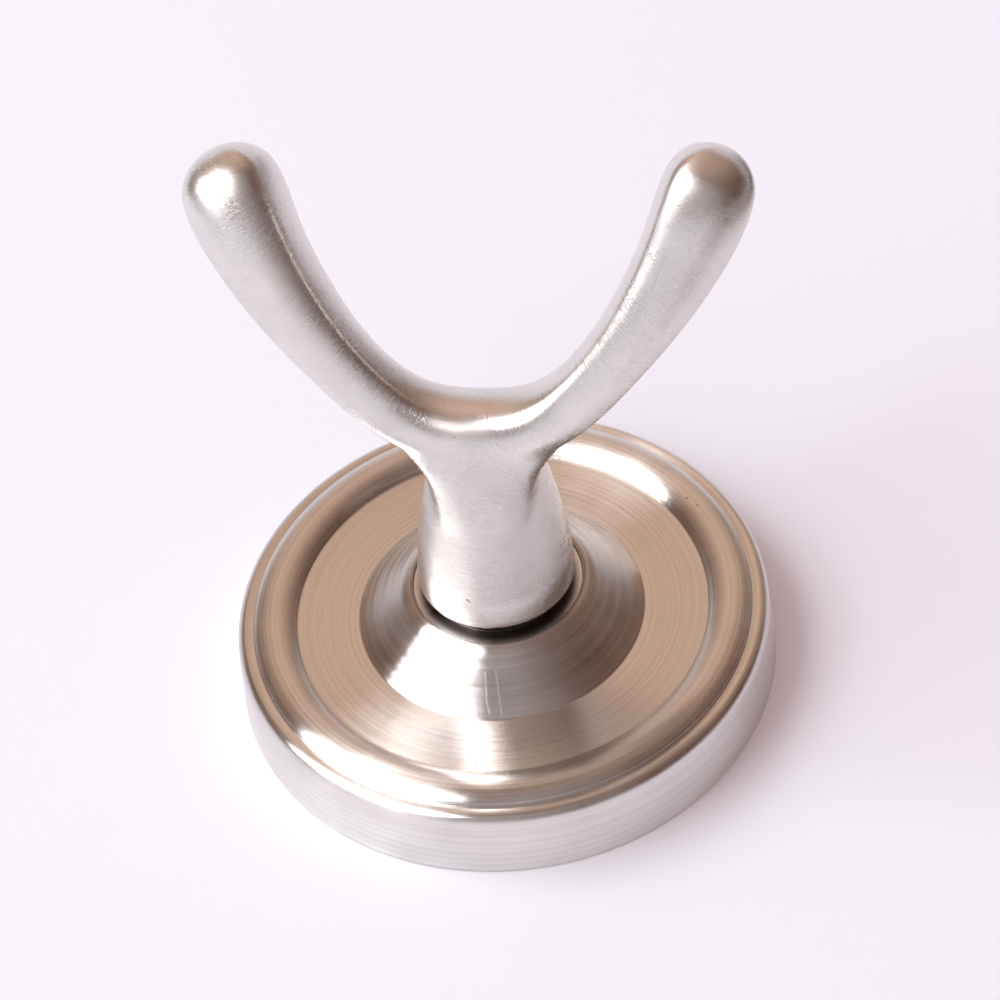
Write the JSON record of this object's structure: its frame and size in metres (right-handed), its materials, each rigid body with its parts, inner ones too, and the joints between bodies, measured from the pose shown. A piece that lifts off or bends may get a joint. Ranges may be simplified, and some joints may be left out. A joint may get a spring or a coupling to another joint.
{
  "type": "robe hook",
  "caption": "Double robe hook: a forked cast hook with rounded tips on a stepped round rosette, held to a concealed folded wall bracket by a set screw.",
  "frame": {"origin": "centre of the rosette's flat wall face", "axes": "+Z out of the wall along the post, +X across the two arms, +Y the side that the arms lean to"},
  "size_m": [0.064, 0.064, 0.0692],
  "materials": {
    "satin_nickel": "satin brushed nickel plate under clear lacquer",
    "zinc_plate": "bright zinc plate on pressed steel",
    "steel": "plain machined steel"
  },
  "bodies": {
    "root": {"rosette": "satin_nickel", "hook": "satin_nickel", "post_screw": "steel", "flat_washer": "zinc_plate", "spring_washer": "steel", "wall_bracket": "zinc_plate", "set_screw": "steel"}
  },
  "joints": []
}
